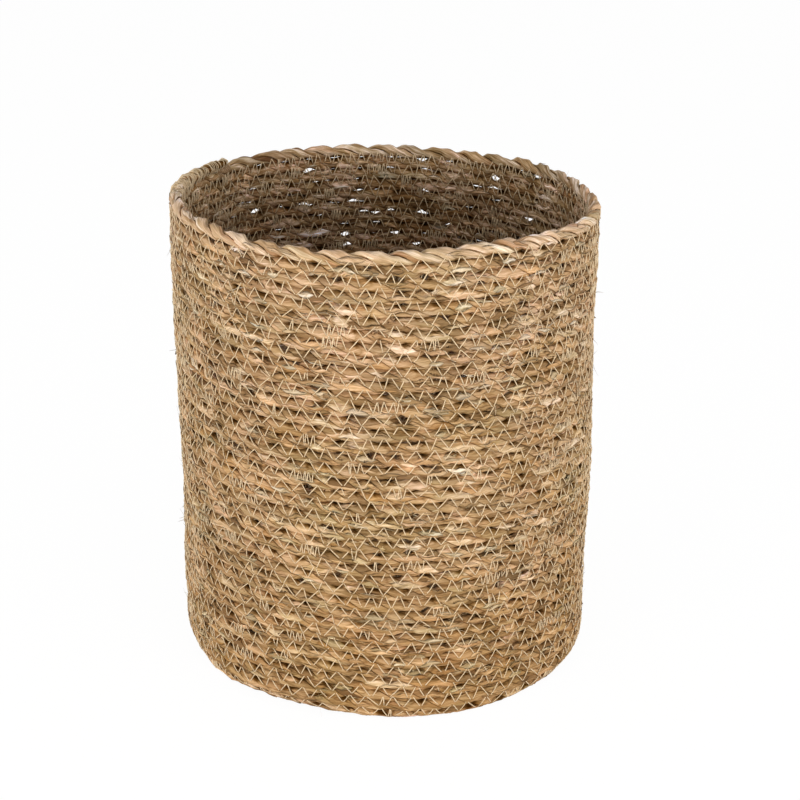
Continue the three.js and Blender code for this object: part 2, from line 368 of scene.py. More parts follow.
@dataclass
class CordShape:
    """The twist and the section of the two plies."""

    route: CordRoute
    wall_lay: float = 31.0 * MM
    rim_lay: float = 35 * MM
    offset: float = 1.7 * MM
    crown: float = 1.6 * MM
    contact: float = 1.64 * MM
    side: float = 3.0 * MM
    pinch: float = 0.75 * MM
    rim_pinch: float = 0.55 * MM
    back_side: float = 3.42 * MM
    rim_back: float = 0.6 * MM
    base_back: float = 0.45 * MM
    heart_back: float = 2.5 * MM
    heart_turns: tuple[float, float] = (1.1, 1.9)
    stack: float = 0.075
    slits: int = 640
    slit_depth: float = 2.5 * MM
    slit_front: float = 0.42
    slit_run: float = 2.9 * MM
    floor_gap: float = 0.42 * MM
    floor_press: float = 0.88
    leaf_turn: float = 1.5
    rim_leaf_turn: float = 0.45
    grain_radius: float = 2.3 * MM
    grain_shift: float = 700.0
    rim_steady: float = 0.75

    def phase(self, length: Array, number: int | Array) -> Array:
        """The angle of ply 0 or 1 round the cord's middle, from the way out towards across.

        Args:
            length: Lengths along the cord.
            number: 0 or 1, for the ply.

        Returns:
            The angles, which grow along the cord.
        """
        rim = np.maximum(length - self.route.length_at(self.route.rim_start), 0)
        twist = FULL_TURN * (length - rim) / self.wall_lay + FULL_TURN * rim / self.rim_lay
        steady = length - self.rim_steady * rim
        twist = twist + 2.6 * Waver(33, 0.8).at(steady)
        twist = twist + 0.6 * Waver(31, 0.16).at(steady) + 0.25 * Waver(32, 0.05).at(length)
        return twist + math.pi * number

    def grain(self, length: Array, angle: Array, number: int | Array) -> Array:
        """Where points lie on the leaves of ply 0 or 1, unrolled, in millimetres.

        Args:
            length: Lengths along the cord.
            angle: Angles round the ply's own middle.
            number: 0 or 1, for the ply.

        Returns:
            For each point its place round the ply, the ply's own shift and its place along it.
        """
        rim = self.route.rim_share(self.route.turns_at(length))
        turn = self.leaf_turn + (self.rim_leaf_turn - self.leaf_turn) * rim
        leaf = self.grain_radius / MM * (angle + turn * self.phase(length, number))
        return np.stack([leaf, 0 * leaf + self.grain_shift * number, length / MM], -1)

    def slit(self, length: Array) -> Array:
        """1 at the few places where the turn above doesn't meet the cord, and 0 elsewhere.

        Args:
            length: Lengths along the cord.

        Returns:
            How open the slit is at each length, from 0 to 1.
        """
        chance = np.random.default_rng(50)
        places = np.sort(chance.uniform(0, self.route.lengths[-1], self.slits))
        after = np.clip(np.searchsorted(places, length), 1, self.slits - 1)
        away = np.minimum(np.abs(length - places[after]), np.abs(length - places[after - 1]))
        return np.exp(-((away / self.slit_run) ** 2))

    def wave(self, ply: Ply, number: int, wavelength: float, length: Array) -> Array:
        """One of a ply's own wanders at each length."""
        return Waver(40 + 10 * ply.value + number, wavelength).at(length)

    def size(self, length: Array, angle: Array, phase: Array, ply: Ply) -> Array:
        """How thick a ply is, as a share of its usual size.

        Args:
            length: Lengths along the cord.
            angle: Angles round the ply's own middle, from 0 at its crown.
            phase: The ply's angle round the cord's middle.
            ply: Which of the two plies.

        Returns:
            The shares, which change along the ply and from leaf to leaf.
        """
        thick = self.wave(ply, 0, 0.026, length)
        lumpy = self.wave(ply, 1, 0.009, length)
        leaf = angle + self.leaf_turn * phase
        drift = 2.2 * self.wave(ply, 2, 0.05, length)
        lobes = 0.045 * np.cos(3 * leaf + drift) + 0.03 * np.cos(5 * leaf - 1.7 * drift)
        return (1 + 0.055 * thick + 0.035 * lumpy) * (1 + lobes)

    def widths(self, turns: Array, angle: Array, phase: Array, ply: Ply) -> tuple[Array, Array]:
        """Half a ply's width, less where the cord is pinched and where a slit is.

        Args:
            turns: Places along the cord.
            angle: Angles round the ply's own middle, from 0 at its crown.
            phase: The ply's angle round the cord's middle.
            ply: Which of the two plies.

        Returns:
            The half width towards the crown and towards the other ply.
        """
        route = self.route
        length = route.length_at(turns)
        rim = route.rim_share(turns)
        tight = np.clip(0.85 + 0.55 * self.wave(ply, 6, 0.03, length), 0.0, 1.7)
        side = self.side - (self.pinch * tight + self.rim_pinch * rim) * np.cos(phase) ** 4
        back = self.back_side + self.rim_back * rim + self.base_back * (turns < route.wall_start)
        back = back + self.heart_back * (1 - eased(turns, *self.heart_turns))
        upper = np.sin(angle) * np.cos(phase) > 0
        below = self.slit(route.length_at(turns - 1)) * (turns > route.wall_start + 1) * (1 - rim)
        slit = np.where(upper, self.slit(length) * (turns > route.wall_start), below)
        side = side - slit * self.slit_depth * self.slit_front
        back = back - slit * self.slit_depth
        return side, np.where(upper, back + (side - back) * rim, back)

    def squeezed(self, turns: Array, out: Array, across: Array) -> tuple[Array, Array]:
        """A section brought to the size of the rim's cord and of its flattened end.

        Args:
            turns: Places along the cord.
            out: Distances out from the cord's middle.
            across: Distances across from it.

        Returns:
            The distances out and across after that.
        """
        route = self.route
        rim, flattened = route.rim_share(turns), route.flattened(turns)
        full = 2 * (self.offset + self.crown)
        out = out * (1 + rim * (route.rope_thick / full - 1))
        out = out * (1 - flattened * (1 - route.tail_end_thick / route.rim_thick))
        across = across * (1 + self.stack * (1 - rim) + rim * (route.rope_high / full - 1))
        across = across * (1 - flattened * (1 - route.tail_end_high / route.rim_high))
        return out, across

    def section(self, turns: Array, angle: Array, ply: Ply) -> tuple[Array, Array, Array]:
        """A ply's surface seen along the cord.

        Args:
            turns: Places along the cord.
            angle: Angles round the ply's own middle, from 0 at its crown.
            ply: Which of the two plies.

        Returns:
            The distances out and across from the cord's middle, and how much painted shade each
            point gets in the crease between the plies, from 0 to 1.
        """
        length = self.route.length_at(turns)
        rim = self.route.rim_share(turns)
        phase = self.phase(length, ply.value)
        size = self.size(length, angle, phase, ply)
        side, back = self.widths(turns, angle, phase, ply)
        cosine, sine = np.cos(angle), np.sin(angle)
        front = self.crown * np.abs(cosine) ** 0.85
        depth = np.where(cosine > 0, front, -self.contact * np.abs(cosine) ** 0.5)
        boxy = np.where(cosine > 0, 0.78 + 0.14 * rim, 0.26 + 0.44 * rim)
        behind = eased(-cosine, 0.0, 0.7)
        widest = side + (back - side) * behind
        width = widest * np.sign(sine) * np.abs(sine) ** boxy
        forward = self.offset + np.where(cosine > 0, depth * size, depth)
        snug = 1 + 0.012 * self.wave(ply, 3, 0.03, length) + 0.02 * self.wave(ply, 4, 0.007, length)
        sideways = width * (size + (snug - size) * behind)
        out = forward * np.cos(phase) - sideways * np.sin(phase)
        across = forward * np.sin(phase) + sideways * np.cos(phase)
        out, across = self.squeezed(turns, out, across)
        # Painted shade in the crease between the plies: stronger on the rim, and uneven along the
        # ply.
        uneven = np.clip(0.75 + 0.35 * self.wave(ply, 5, 0.02, length), 0.2, 1)
        groove_shade = (0.42 + 0.28 * rim) * uneven * eased(-cosine, 0.35, 0.95)
        return out, across, groove_shade

    def points(self, turns: Array, outward: Array, sideways: Array) -> Array:
        """Points at distances out and across from the cord's middle, pressed on the floor.

        Args:
            turns: Places along the cord, in turns.
            outward: Distances out from the cord's middle.
            sideways: Distances across from it.

        Returns:
            The points in the basket's frame.
        """
        middle, across, out = self.route.middle(turns)
        points = shifted(middle, out, outward, across, sideways)
        below = np.maximum(self.floor_gap - points[..., 2], 0)
        points[..., 2] += self.floor_press * below
        return points

    def seat(self, turns: Array, sideways: Array, face: Face) -> Array:
        """How far the cord's surface stands out from its middle.

        Args:
            turns: Places along the cord.
            sideways: Distances across from the cord's middle.
            face: The face of the basket on which the distance is measured.

        Returns:
            The distances towards that face, or a low value beside the cord.
        """
        angles = np.linspace(0, FULL_TURN, 25)
        best = np.full(turns.shape, -1.0 * MM)
        for ply in Ply:
            out, across, _ = self.section(turns[..., None], angles, ply)
            out = out * face.value
            gap = across - sideways[..., None]
            crossed = gap[..., :-1] * gap[..., 1:] <= 0
            share = gap[..., :-1] / (gap[..., :-1] - gap[..., 1:] + 1e-12)
            height = out[..., :-1] + (out[..., 1:] - out[..., :-1]) * share
            best = np.maximum(best, np.where(crossed, height, -1.0 * MM).max(-1))
        return best


def in_scene(name: str, data: bpy.types.ID) -> Piece:
    """A new object in the scene.

    Args:
        name: Its name.
        data: Its mesh, lamp or camera.

    Returns:
        The object, unturned, at the origin.
    """
    thing = bpy.data.objects.new(name, data)
    bpy.context.scene.collection.objects.link(thing)
    return thing


def mesh_of(name: str, shape: bmesh.types.BMesh) -> Mesh:
    """A new mesh of a finished shape.

    Args:
        name: The mesh's name.
        shape: The shape, which is freed.

    Returns:
        The mesh.
    """
    mesh = bpy.data.meshes.new(name)
    shape.to_mesh(mesh)
    shape.free()
    return mesh


def repeat(shape: bmesh.types.BMesh, count: int) -> None:
    """Sets copies of a shape side by side along X.

    Args:
        shape: The shape, which is changed.
        count: How many stand there in the end.
    """
    made = 1
    while made < count:
        every = shape.verts[:] + shape.edges[:] + shape.faces[:]
        copies = bmesh.ops.duplicate(shape, geom=every)["geom"]
        moved = [item for item in copies if isinstance(item, bmesh.types.BMVert)]
        bmesh.ops.translate(shape, verts=moved, vec=(TUBE_SPACING * made, 0, 0))
        made *= 2
    most = TUBE_SPACING * (count - 0.5)
    spare = [vertex for vertex in shape.verts if vertex.co.x > most]
    bmesh.ops.delete(shape, geom=spare, context="VERTS")


def straight_tubes(sides: int, rings: int, count: int) -> tuple[Mesh, int]:
    """Closed straight tubes of unit radius and length, cut into rings.

    Args:
        sides: Faces round each tube.
        rings: The least number of stretches along it.
        count: How many tubes stand side by side.

    Returns:
        The mesh, which stands on the XY plane, and the number of stretches of each tube.
    """
    shape = bmesh.new()
    bmesh.ops.create_cone(
        shape, cap_ends=True, cap_tris=False, segments=sides, radius1=1, radius2=1, depth=1
    )
    bmesh.ops.translate(shape, verts=shape.verts, vec=(0, 0, 0.5))
    coarse = max(int(math.sqrt(rings)), 1)
    fine = math.ceil(rings / coarse)
    for pieces in (coarse, fine):
        if pieces > 1:
            long = [e for e in shape.edges if abs(e.verts[0].co.z - e.verts[1].co.z) > 0.5 / coarse]
            bmesh.ops.subdivide_edges(shape, edges=long, cuts=pieces - 1, use_grid_fill=True)
    repeat(shape, count)
    return mesh_of("tubes", shape), coarse * fine


@dataclass
class Straight:
    """The points of straight tubes before they are bent."""

    share: Array
    angle: Array
    number: Array
    stretches: int


@dataclass
class Bent:
    """Where the points go, and the marks that the finish reads."""

    points: Array
    grain: Array
    # How much darker the finish makes each point: painted shade, and darker along the flattened end.
    depth: Array


Bend = Callable[[Straight], Bent]


def places_of(mesh: Mesh) -> Array:
    """The places of a mesh's points.

    Args:
        mesh: The mesh.

    Returns:
        One row for each point.
    """
    flat = np.empty(len(mesh.vertices) * 3, np.float32)
    mesh.vertices.foreach_get("co", flat)
    return flat.reshape(-1, 3).astype(float)


def copies_of(points: Array) -> Array:
    """Which of the copies side by side each point belongs to."""
    return np.rint(points[:, 0] / TUBE_SPACING).astype(int)


def shown(name: str, mesh: Mesh, bent: Bent) -> Piece:
    """A new object whose mesh has its points and marks in place.

    Args:
        name: The piece's name.
        mesh: Its mesh, still straight.
        bent: Where its points go, and their marks.

    Returns:
        The new object.
    """
    mesh.name = name
    mesh.vertices.foreach_set("co", bent.points.astype(np.float32).ravel())
    grain = mesh.attributes.new("grain", "FLOAT_VECTOR", "POINT")
    grain.data.foreach_set("vector", bent.grain.astype(np.float32).ravel())
    # The depth attribute carries the painted shade to the finish.
    depth = mesh.attributes.new("depth", "FLOAT", "POINT")
    depth.data.foreach_set("value", bent.depth.astype(np.float32))
    mesh.update()
    return in_scene(name, mesh)


def bent_tubes(name: str, sides: int, rings: int, bend: Bend, count: int = 1) -> Piece:
    """Tubes that are bent along their ways.

    Args:
        name: The piece's name.
        sides: Faces round each tube.
        rings: The least number of stretches along it.
        bend: Says where the points of the straight tubes go.
        count: How many tubes the piece has.

    Returns:
        The new object.
    """
    mesh, stretches = straight_tubes(sides, rings, count)
    straight = places_of(mesh)
    normals = np.empty(len(mesh.polygons) * 3, np.float32)
    mesh.polygons.foreach_get("normal", normals)
    mesh.polygons.foreach_set("use_smooth", np.abs(normals.reshape(-1, 3)[:, 2]) < 0.5)
    number = copies_of(straight)
    angle = np.arctan2(straight[:, 1], straight[:, 0] - TUBE_SPACING * number)
    return shown(name, mesh, bend(Straight(straight[:, 2], angle, number, stretches)))


def thread_through(name: str, points: Array, square: Array, radius: float, seed: int) -> Piece:
    """A thread through points.

    Args:
        name: The piece's name.
        points: The points of its middle.
        square: At each point, a way that the thread never takes.
        radius: Half its thickness.
        seed: Sets where its twist starts.

    Returns:
        The new object.
    """

    def bend(tube: Straight) -> Bent:
        """Lays the thread's rings along the points.

        Args:
            tube: The straight thread's points.

        Returns:
            Their places and marks.
        """
        extra = tube.stretches + 1 - len(points)
        more = points[-1] + (points[-1] - points[-2]) * 0.001 * np.arange(1, extra + 1)[:, None]
        path = np.concatenate([points, more])
        ways = np.concatenate([square, np.repeat(square[-1:], extra, 0)])
        ring = np.rint(tube.share * tube.stretches).astype(int)
        steps = np.linalg.norm(np.diff(path, axis=0), axis=1)
        length = np.concatenate([[0], np.cumsum(steps)])
        heading = np.diff(path, axis=0) / np.maximum(steps, 1e-9)[:, None]
        along = np.concatenate([heading[:1], heading[:-1] + heading[1:], heading[-1:]])
        along = along / np.maximum(np.linalg.norm(along, axis=1), 1e-9)[:, None]
        first = ways - along * (ways * along).sum(-1)[:, None]
        first = first / np.maximum(np.linalg.norm(first, axis=1), 1e-9)[:, None]
        second = np.cross(along, first)
        reach = radius * np.stack([np.cos(tube.angle), np.sin(tube.angle)], -1)
        places = path[ring] + first[ring] * reach[:, :1] + second[ring] * reach[:, 1:]
        grain = [np.cos(tube.angle), np.sin(tube.angle), length[ring] / MM + seed * 1000]
        return Bent(places, np.stack(grain, -1), np.zeros(len(ring)))

    return bent_tubes(name, 4, len(points) - 1, bend)


def dress(piece: Piece, finish: Material, slot: str, *nodes: str) -> None:
    """Gives a piece its finish and its place on the part's body.

    Args:
        piece: The piece.
        finish: Its material.
        slot: The record's material slot. It is not used.
        nodes: The solids of the part that the piece stands for.
    """
    piece.data.materials.append(finish)
    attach(piece, "root")
    if nodes:
        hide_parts(*nodes)
    LOG.info("%s: %d faces", piece.name, len(piece.data.polygons))


@dataclass
class CoiledCord:
    """The seagrass cord from the middle of the base to the flattened end at the rim."""

    shape: CordShape
    ring_spacing: float = 2.0 * MM
    rim_spacing: float = 1.5 * MM
    sides: int = 12
    rim_sides: int = 18
    start_taper: float = 0.2 * MM
    end_taper: float = 3 * MM
    thinnest_tip: float = 0.02
    start_crowding: float = 1.25

    def bend_ply(self, ply: Ply, start: float, end: float) -> Bend:
        """The bend of one ply between two numbers of turns.

        Args:
            ply: Which of the two plies.
            start: The number of turns where it starts.
            end: The number of turns where it ends.

        Returns:
            A function that says where a straight tube's points go.
        """
        route = self.shape.route
        first, last = route.span(start, end)
        crowded = self.start_crowding if start == route.curl_start else 1.0

        def bend(tube: Straight) -> Bent:
            """Twists the ply and lays it on the coil.

            Args:
                tube: The straight ply's points.

            Returns:
                Their places and marks.
            """
            length = first + (last - first) * tube.share**crowded
            turns = route.turns_at(length)
            outward, sideways, groove_shade = self.shape.section(turns, tube.angle, ply)
            from_start = length - route.length_at(route.curl_start)
            to_end = route.length_at(route.tail_end) - length
            tip = np.sqrt(np.clip(from_start / self.start_taper, self.thinnest_tip, 1))
            tip = tip * np.sqrt(np.clip(to_end / self.end_taper, self.thinnest_tip, 1))
            points = self.shape.points(turns, outward * tip, sideways * tip)
            grain = self.shape.grain(length, tube.angle, ply.value)
            # The depth mark is painted shade in the crease between the plies, in pockets at the
            # seams between the turns (wider on the inner face) and over the whole inner face; it
            # also darkens the flattened end.
            notch = np.cos(self.shape.phase(length, ply.value)) ** 4
            covered = 1 - route.rim_share(turns) * (sideways > 0)
            inner = eased(-outward, 0.0, 1.0 * MM)
            pocket_shade_start = 2.95 * MM - (1.2 + 0.3 * inner) * MM * notch
            uneven = np.clip(0.85 + 0.4 * Waver(61 + ply.value, 0.015).at(length), 0.15, 1)
            beside = eased(np.abs(sideways), pocket_shade_start, pocket_shade_start + 0.5 * MM) * (0.3 + 0.7 * notch)
            depth = np.maximum(groove_shade, beside * uneven * covered)
            tail_darkening_and_inner_shade = np.maximum(0.85 * np.sqrt(route.flattened(turns)), 0.15 * inner)
            return Bent(points, grain, np.maximum(depth, tail_darkening_and_inner_shade))

        return bend

    def build(self, seagrass: Material, rim: Material) -> None:
        """Makes both plies of each stretch of the cord.

        Args:
            seagrass: The finish of the base, the corner and the wall.
            rim: The finish of the rim.
        """
        route = self.shape.route
        stretches = [
            ("base", route.curl_start, route.corner_start, "base_cord", "base_coil"),
            ("corner", route.corner_start, route.wall_start, "base_cord", "corner_coil"),
            ("wall_lower", route.wall_start, route.wall_middle, "wall_cord", "wall_coil_lower"),
            ("wall_upper", route.wall_middle, route.rim_start, "wall_cord", "wall_coil_upper"),
            ("rim", route.rim_start, route.tail_end, "rim_cord", "rim_rope"),
        ]
        for place, start, end, slot, node in stretches:
            at_rim = place == "rim"
            spacing = self.rim_spacing if at_rim else self.ring_spacing
            sides = self.rim_sides if at_rim else self.sides
            first, last = route.span(start, end)
            rings = math.ceil((last - first) / spacing)
            for ply in Ply:
                name = f"{place}_cord_{ply.name.lower()}_ply"
                piece = bent_tubes(name, sides, rings, self.bend_ply(ply, start, end))
                dress(piece, rim if at_rim else seagrass, slot, node)


@dataclass
class ZigzagSeam:
    """The two threads that sew each turn of the cord to the next, one on each face."""

    shape: CordShape
    thread_radius: float = 0.29 * MM
    half_stitch: float = 4.7 * MM
    first_hole: float = 4 * MM
    stitch_share: float = 0.88
    wall_drift: float = 0.14
    rim_drift: float = 0.32
    reach: float = 2.95 * MM
    knot_gap: float = 2.0 * MM
    most_shown: float = 0.36
    flat_height: float = 6 * MM
    sink: float = 1.2 * MM
    run_chance: float = 0.035
    run_holes: tuple[int, int] = (2, 9)
    run_crowd: tuple[float, float] = (0.18, 0.5)
    samples: int = 9
    kept: tuple[int, ...] = (0, 3, 5, 8)

    def holes(self) -> tuple[Array, Array, Array]:
        """The needle holes of the whole seam.

        Returns:
            Their lengths along the cord, their distances across from the seam, and the width
            of thread that shows at each hole.
        """
        route = self.shape.route
        chance = np.random.default_rng(5)
        at = float(route.length_at(np.array(route.cord_start))) + self.first_hole
        end = float(route.length_at(np.array(route.tail_start - 1)))
        places, left = [], 0
        while at < end:
            places.append(at)
            if left == 0 and chance.random() < self.run_chance:
                left = int(chance.integers(*self.run_holes))
            crowd = chance.uniform(*self.run_crowd) if left > 0 else 1.0
            left = max(left - 1, 0)
            turns = float(route.turns_at(at))
            front = -math.sin(route.azimuth_at(turns))
            drift = self.rim_drift if turns > route.rim_start - 1 else self.wall_drift
            wide = self.stitch_share + drift * front
            at += self.half_stitch * wide * crowd * float(np.clip(chance.normal(1, 0.2), 0.5, 1.6))
        count = len(places)
        sides = np.where(np.arange(count) % 2 == 0, 1, -1)
        across = sides * self.reach * np.clip(chance.normal(1, 0.1, count), 0.7, 1.2)
        steps = np.diff(places, prepend=places[0] - self.half_stitch)
        shown = np.minimum(self.knot_gap * chance.uniform(0.1, 1.15, count), self.most_shown * steps)
        return np.array(places), across, shown

    def crossing(self, face: Face, length: Array, across: Array) -> tuple[Array, Array, Array]:
        """The cord's surface under points of the seam.

        Args:
            face: The face of the basket.
            length: Lengths along the lower turn of the cord.
            across: Distances across from the seam.

        Returns:
            The seam's places at those distances across, the way out, and the surface's height there.
        """
        route = self.shape.route
        turns = route.turns_at(length)
        azimuth = route.azimuth_at(turns)
        seam, way, out = route.place(azimuth, (turns + 0.5) * route.pitch)
        height = np.full(turns.shape, -9.0 * MM)
        for cord in (turns, turns + 1):
            middle, _, _ = route.middle(cord)
            offset = middle - seam
            beside = across - (offset * way).sum(-1)
            seat = self.shape.seat(cord, beside, face) + face.value * (offset * out).sum(-1)
            height = np.maximum(height, seat)
        return seam + way * across[..., None], out, height

    def pulled(self, height: Array) -> Array:
        """The height of stitches that are pulled straight over the surface under them.

        Args:
            height: The surface's height under the samples of each stitch.

        Returns:
            The height of the thread's middle, lower where it goes into its holes.
        """
        taut = height.copy()
        for low in range(self.samples):
            for high in range(low + 2, self.samples):
                between = np.arange(low + 1, high)
                weight = (between - low) / (high - low)
                line = height[:, low, None] * (1 - weight) + height[:, high, None] * weight
                taut[:, between] = np.maximum(taut[:, between], line)
        taut = taut + self.thread_radius * 0.75
        taut[:, [0, -1]] -= self.thread_radius * 0.9
        return taut

    def path(self, face: Face, first: float, last: float) -> Array:
        """The thread's points on one face, between two lengths of the cord.

        Args:
            face: The face of the basket.
            first: The length where the thread starts.
            last: The length where it ends.

        Returns:
            The points, in order, with one deep in each needle hole.
        """
        places, across, shown = self.holes()
        chosen = (places >= first) & (places < last)
        index = np.flatnonzero(chosen)
        index = index[index + 1 < len(places)]
        share = np.linspace(0, 1, self.samples)
        begin = places[index] + shown[index] / 2
        finish = places[index + 1] - shown[index + 1] / 2
        length = begin[:, None] + (finish - begin)[:, None] * share
        beside = across[index, None] + (across[index + 1] - across[index])[:, None] * share
        base, out, height = self.crossing(face, length, beside)
        legs = base + out * (face.value * self.pulled(height))[..., None]
        hole_base, hole_out, hole_height = self.crossing(face, places[index], across[index])
        deep = hole_height - self.sink
        holes = hole_base + hole_out * (face.value * deep)[..., None]
        points = np.concatenate([holes[:, None], legs[:, list(self.kept)]], 1).reshape(-1, 3)
        points[:, 2] = np.maximum(points[:, 2], self.thread_radius)
        return points

    def across_at(self, points: Array) -> Array:
        """The way across the turns at points of the thread, which no stitch takes for long.

        Args:
            points: The thread's points.

        Returns:
            The way for each point.
        """
        route = self.shape.route
        azimuth = np.arctan2(points[:, 1], points[:, 0])
        steep = np.clip((points[:, 2] - self.flat_height) / route.corner_radius, 0, 1)[:, None]
        return rays(azimuth) * (1 - steep) + UP * steep

    def build(self, thread: Material) -> None:
        """Makes the threads of both faces, stretch by stretch.

        Args:
            thread: The thread's finish.
        """
        route = self.shape.route
        marks = [route.cord_start, route.corner_start, route.wall_start, route.wall_middle]
        marks += [route.rim_start - 1, route.tail_start - 1]
        lengths = route.length_at(np.array(marks))
        names = ["base", "corner", "wall_lower", "wall_upper", "rim"]
        for face, kind in ((Face.OUTSIDE, "needle"), (Face.INSIDE, "bobbin")):
            for number, name in enumerate(names):
                points = self.path(face, lengths[number], lengths[number + 1])
                ways = self.across_at(points)
                radius = self.thread_radius * (1.1 if face is Face.INSIDE else 1.0)
                piece = thread_through(f"{name}_{kind}_seam", points, ways, radius, number)
                nodes = (f"rim_{kind}_thread",) if name == "rim" else ()
                dress(piece, thread, "sewing_thread", *nodes)


@dataclass
class TailLashing:
    """The dense stitches of both threads over the flattened end of the cord."""

    shape: CordShape
    thread_radius: float = 0.26 * MM
    step: float = 3.0 * MM
    below: float = 3.0 * MM
    sink: float = 1.0 * MM
    round_share: float = 0.65
    headings: tuple[int, ...] = (-62, -30, 0, 30, 60, 90, 120, 150, 180, 210, 242)

    def wrap(self, turns: float, lean: float, sign: int) -> Array:
        """One stitch over the cord's end, from one face to the other.

        Args:
            turns: Where the stitch starts.
            lean: How far along the cord it drifts, in turns.
            sign: 1 if it starts on the outer face.

        Returns:
            The stitch's points.
        """
        angles = np.linspace(0, FULL_TURN, 33)
        headings = np.radians(self.headings)[::sign]
        points = []
        for number, heading in enumerate(headings):
            at = np.full(angles.shape, turns + lean * number / len(headings))
            middle, across, out = self.shape.route.middle(at[:1])
            spots = []
            for ply in Ply:
                outward, sideways, _ = self.shape.section(at, angles, ply)
                spots.append(np.stack([outward, sideways], -1))
            spot = np.concatenate(spots)
            way = np.array([math.cos(heading), math.sin(heading)])
            far = spot @ way
            best = spot[np.argmax(far)] * (1 - self.round_share) + way * far.max() * self.round_share
            best = best + way * self.thread_radius * 0.5
            points.append(middle[0] + out[0] * best[0] + across[0] * best[1])
        start, finish = points[0] - UP * self.below, points[-1] - UP * self.below
        inward = (finish - start) / np.linalg.norm(finish - start)
        sunk = [start + inward * self.sink, start, *points, finish, finish - inward * self.sink]
        return np.array(sunk)

    def build(self, thread: Material) -> None:
        """Makes the needle's and the bobbin's stitches.

        Args:
            thread: The thread's finish.
        """
        route = self.shape.route
        chance = np.random.default_rng(8)
        turn_length = FULL_TURN * route.wall_radius
        for kind, shift in (("needle", 0.0), ("bobbin", 0.5)):
            at = route.tail_start - 0.03 + shift * self.step / turn_length
            points, sign = [], 1
            while at < route.tail_end - 1.2 * MM / turn_length:
                lean = chance.normal(0.2, 1.0) * self.step / turn_length
                points.append(self.wrap(at, lean, sign))
                sign = -sign
                at += self.step * chance.uniform(0.5, 1.5) / turn_length
            path = np.concatenate(points)
            azimuth = np.arctan2(path[:, 1], path[:, 0])
            ways = np.stack([-np.sin(azimuth), np.cos(azimuth), np.zeros_like(azimuth)], -1)
            piece = thread_through(f"tail_{kind}_lashing", path, ways, self.thread_radius, 60)
            dress(piece, thread, "sewing_thread", f"tail_{kind}_thread")


@dataclass
class ThreadKnots:
    """Small knots of fluffed thread where a stitch was pulled tight."""

    seam: ZigzagSeam
    count: int = 300
    radius: float = 0.42 * MM
    lift: float = 0.15 * MM
    outside_share: float = 0.7

    def build(self, thread: Material) -> None:
        """Makes the knots of both faces.

        Args:
            thread: The thread's finish.
        """
        places, across, _ = self.seam.holes()
        chance = np.random.default_rng(9)
        balls = bmesh.new()
        bmesh.ops.create_icosphere(balls, subdivisions=1, radius=1.0)
        repeat(balls, self.count)
        mesh = mesh_of("knots", balls)
        mesh.polygons.foreach_set("use_smooth", np.ones(len(mesh.polygons), bool))
        straight = places_of(mesh)
        number = copies_of(straight)
        local = straight - TUBE_SPACING * number[:, None] * [1, 0, 0]
        chosen = chance.choice(len(places) - 1, self.count, replace=False)
        chosen = np.where(places[chosen] > places[len(places) // 6], chosen, chosen[::-1])
        signs = np.where(chance.random(self.count) < self.outside_share, 1, -1)
        spots = np.zeros((self.count, 3))
        for face in Face:
            mine = signs == face.value
            base, out, height = self.seam.crossing(face, places[chosen[mine]], across[chosen[mine]])
            spots[mine] = base + out * (face.value * (height + self.lift))[:, None]
        sizes = self.radius * chance.uniform(0.7, 1.5, (self.count, 1))
        rough = 1 + 0.25 * chance.normal(size=len(local))[:, None].clip(-1.5, 1.5)
        points = spots[number] + local * sizes[number] * rough * [1, 1, 1.2]
        points[:, 2] = np.maximum(points[:, 2], FLOOR_CLEAR)
        grain = local + number[:, None] * 7.0
        piece = shown("thread_knots", mesh, Bent(points, grain, np.zeros(len(local))))
        dress(piece, thread, "sewing_thread")


